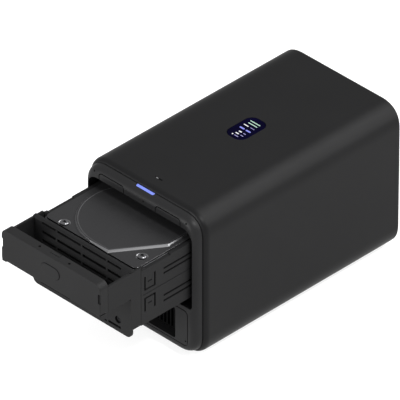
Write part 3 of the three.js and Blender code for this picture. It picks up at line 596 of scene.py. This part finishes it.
make_display()
lit_marks("display_marks.white", [
    (-3.6, -2.0, 104.5, 106.1), (-2.6, 1.2, 107.6, 109.0),
    (-2.2, 1.3, 110.9, 112.3), (-6.0, -0.6, 120.3, 121.5)], MARK_WHITE)
lit_marks("display_marks.dim", [
    (-0.9, 3.5, 104.7, 105.7), (2.8, 6.0, 107.8, 108.8),
    (2.8, 5.7, 111.0, 112.0), (1.0, 5.8, 120.5, 121.3)], MARK_DIM)
lit_marks("display_marks.blue", [(-5.7, -0.3, 115.2, 117.0), (0.9, 6.3, 115.2, 117.0)], MARK_BLUE)
lit_marks("display_marks.green", [(-4.9, 5.1, 124.2, 125.4), (-5.8, 5.3, 127.3, 128.5)], MARK_GREEN)

# ---- tray ----


PLATE = {"x": 54.65, "low": 90.0, "high": 119.0, "front": 0.5, "rear": 9.0}
END_NOTCH = {"x": 52.3, "low": 101.3, "high": 110.3, "rear": 1.8}
BUTTON = {"x": 10.2, "low": 100.1, "high": 111.1, "rear": 5.0, "gap": 0.3}


def button_outline(inset):
    """The pill shape of the lock button, whose ends are half circles."""
    low, high = BUTTON["low"] + inset, BUTTON["high"] - inset
    return round_rect(inset - BUTTON["x"], BUTTON["x"] - inset, low, high, (high - low) / 2 - 0.01)


def make_handle_plate():
    outline = round_rect(-PLATE["x"], PLATE["x"], PLATE["low"], PLATE["high"], 2, 5.5)
    edge = grown(outline, -0.6)
    middle = grown(outline, -0.18)
    bm = stepped(bmesh.new(), TRAY, "Y", [
        (edge, PLATE["front"]), (middle, PLATE["front"] + 0.18), (outline, PLATE["front"] + 0.6),
        (outline, PLATE["rear"]), (middle, PLATE["rear"] + 0.25)])
    cutters = [
        tool(TRAY, "Y", button_outline(0.0), -1, 4),
        block(TRAY, -13, 13, 2.6, 10, 97.4, 116.6),
        block(TRAY, -4.9, 4.9, 5, 8.6, 115, 120),
    ]
    for side in (-1, 1):
        cutters.append(tool(TRAY, "Z", circle(side * 16.4, 5, 1.2, 16), 114, 120))
        x0, x1 = sorted((side * END_NOTCH["x"], side * 60))
        cutters.append(block(TRAY, x0, x1, -1, END_NOTCH["rear"], END_NOTCH["low"], END_NOTCH["high"]))
    bm = soften(carve(bm, *cutters), 0.15, 2, 50.0)
    for side in (-1, 1):
        foot = round_rect(side * 52.3 - 2.3, side * 52.3 + 2.3, 0.8, 7, 0.5, steps=3)
        stepped(bm, TRAY, "Z", [(grown(foot, -0.2), 88.7), (foot, 88.9), (foot, 90.1)])
    adopt(finish_mesh("handle_plate.fine", bm, PLATE_PLASTIC_PAINTED_LIGHT), "handle_plate")


def make_lock_button():
    pill = button_outline(BUTTON["gap"])
    bm = stepped(bmesh.new(), TRAY, "Y", [
        (grown(pill, -0.35), 0.0), (grown(pill, -0.1), 0.1), (pill, 0.4), (pill, BUTTON["rear"])])
    adopt(finish_mesh("lock_button.fine", bm, PLATE_PLASTIC_PAINTED_LIGHT), "lock_button")


make_handle_plate()
make_lock_button()

# ---- drives ----


CAST_TOP = 22.8
SHEET_TOP = 24.55
RAISED_TOP = 25.78
COVER = {"x": 50.5, "front": 0.3, "rear": 146.7, "round": 4.5}
COVER_SCREWS = [("front_right", 42.2, 15.5), ("front_left", -32.5, 4.4), ("rear_right", 44.6, 139),
                ("rear_left", -44.6, 139)]


def raised_ring(spread):
    """The raised outline moved out by spread along its slanting cut, and about a quarter as far elsewhere."""
    wide = grown(raised_outline(), spread)
    narrow = grown(raised_outline(), spread * 0.28)
    return wide[:2] + narrow[2:]


def raised_outline():
    """The raised part of a drive's cover: a disc's arc, a slanting front right and a straight rear."""
    points = [(19.3, 1.0), (46.4, 39.8), (46.4, 41.4), (46.4, 116.0)]
    corner = [t * math.pi / 16 for t in range(1, 9)]
    points += [(38.4 + 8 * math.cos(turn), 116 + 8 * math.sin(turn)) for turn in corner]
    for i in range(33):
        turn = math.pi * (0.8 + 0.7 * i / 32)
        points.append((1.6 + 45.6 * math.cos(turn), 46.6 + 45.6 * math.sin(turn)))
    return points


def star(x, y, outer, inner):
    return [(x + (outer if i % 2 == 0 else inner) * math.cos(i * math.pi / 6 + 0.2),
             y + (outer if i % 2 == 0 else inner) * math.sin(i * math.pi / 6 + 0.2)) for i in range(12)]


def make_drive(name, turned):
    """Cover and cover screws; turned is the lower drive, which lies on its back."""
    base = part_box(name + "_body")[0] / MM
    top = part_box(name + "_body")[1] / MM
    if turned:
        spin = Matrix.Translation(Vector((0, base.y, top.z)) * MM) @ Matrix.Rotation(math.pi, 4, "Y")
    else:
        spin = Matrix.Translation(Vector((0, base.y, base.z)) * MM)
    origin = Vector((0, 0, 0))

    plate = round_rect(-COVER["x"], COVER["x"], COVER["front"], COVER["rear"], COVER["round"])
    rim = raised_outline()
    bm = stepped(bmesh.new(), origin, "Z", [
        (plate, CAST_TOP + 0.3), (plate, SHEET_TOP - 0.03), (grown(plate, -0.03), SHEET_TOP)])
    holes = [stepped(bmesh.new(), origin, "Z", [
        (circle(x, y, 3.9, 32), 24.0), (circle(x, y, 5.4, 32), 24.85)]) for _, x, y in COVER_SCREWS]
    bm = carve(bm, *holes)
    bmesh.ops.dissolve_limit(bm, angle_limit=math.radians(0.4), verts=bm.verts, edges=bm.edges)
    stepped(bm, origin, "Z", [
        (raised_ring(1.2), 24.4), (raised_ring(1.05), 24.6),
        (raised_ring(-0.9), RAISED_TOP - 0.12), (raised_ring(-1.3), RAISED_TOP),
        (grown(rim, -1.7), 25.77), (grown(rim, -2.2), 25.62), (grown(rim, -2.6), 25.6)])
    cover = finish_mesh(name + "_cover.fine", bm, MATERIALS["cover_metal"], 24)
    cover.data.transform(spin)
    adopt(cover, name + "_cover")

    for corner, x, y in COVER_SCREWS:
        bm = stepped(bmesh.new(), origin, "Z", [
            (circle(x, y, 1.7, 20), CAST_TOP + 0.4), (circle(x, y, 1.7, 20), 24.1),
            (circle(x, y, 3.3, 32), 24.15),
            (circle(x, y, 3.6, 32), 24.5), (circle(x, y, 3.6, 32), 25.45), (circle(x, y, 3.1, 32), 25.85),
            (circle(x, y, 2.4, 32), 25.95)])
        bm = carve(bm, tool(origin, "Z", star(x, y, 1.9, 1.3), 24.9, 27))
        screw = finish_mesh(f"{name}_screw_{corner}.fine", bm, DRIVE_SCREW, 30)
        screw.data.transform(spin)
        adopt(screw, f"{name}_screw_{corner}")


make_drive("drive_upper", False)
make_drive("drive_lower", True)

# ---- the other pieces keep their CAD shape, with rounded edges ----

for node_name, node_object in NODES.items():
    node_object.data.materials.clear()
    node_object.data.materials.append(MATERIALS[SLOT_OF[node_name]])

EDGE_WIDTH = {"tray_frame": 0.15, "handle_housing": 0.35, "louver_panel": 0.15}
OWN_MATERIAL = {
    "housing_screw_left": DARK_SCREW,
    "housing_screw_right": DARK_SCREW,
    "intake_grille": DARK_GRILLE,
    "latch_tongue": PLATE_PLASTIC_PAINTED_LIGHT,
    # The louver panel in the shaded pocket takes the lighter bezel copy: painted light over its shade.
    "louver_panel": BEZEL_PLASTIC_PAINTED_LIGHT,
}
for node_name, node_object in NODES.items():
    if not node_object.hide_render:
        refined(node_name, EDGE_WIDTH.get(node_name, 0.2), 2, OWN_MATERIAL.get(node_name))

# ---- floor, light ----

FLOOR_HALF = 6.0


def make_floor():
    bm = bmesh.new()
    bmesh.ops.create_grid(bm, x_segments=2, y_segments=2, size=FLOOR_HALF)
    mesh = bpy.data.meshes.new("floor")
    bm.to_mesh(mesh)
    bm.free()
    floor = bpy.data.objects.new("floor", mesh)
    SCENE.collection.objects.link(floor)
    n = Nodes("floor")
    paper = n.mix(n.spread(n.noise(3.0), 0.0, 1.0), (0.30, 0.30, 0.30), (0.33, 0.33, 0.33))
    mesh.materials.append(n.surface(Base_Color=paper, Roughness=0.9, Specular_IOR_Level=0.1,
                                    Emission_Color=(1.0, 1.0, 1.0, 1.0), Emission_Strength=0.72))


def area_light(name, azimuth, elevation, distance, size, power):
    data = bpy.data.lights.new(name, "AREA")
    data.shape = "DISK"
    data.size = size
    data.energy = power
    light = bpy.data.objects.new(name, data)
    back = direction(azimuth, elevation)
    light.location = back * distance
    light.rotation_euler = (-back).to_track_quat("-Z", "Y").to_euler()
    SCENE.collection.objects.link(light)


make_floor()
area_light("front_light", -10.0, 16.0, 1.8, 1.5, 60.0)
area_light("glint_light", 84.0, 57.0, 2.0, 0.42, 40.0)
area_light("rim_light", 134.0, 32.0, 2.0, 1.9, 50.0)
area_light("rear_light", 168.0, 55.0, 2.0, 1.2, 21.0)
world = bpy.data.worlds.new("studio")
world.use_nodes = True
world.node_tree.nodes["Background"].inputs["Color"].default_value = (1.0, 1.0, 1.0, 1.0)
world.node_tree.nodes["Background"].inputs["Strength"].default_value = 0.78
SCENE.world = world
SCENE.view_settings.view_transform = "Standard"
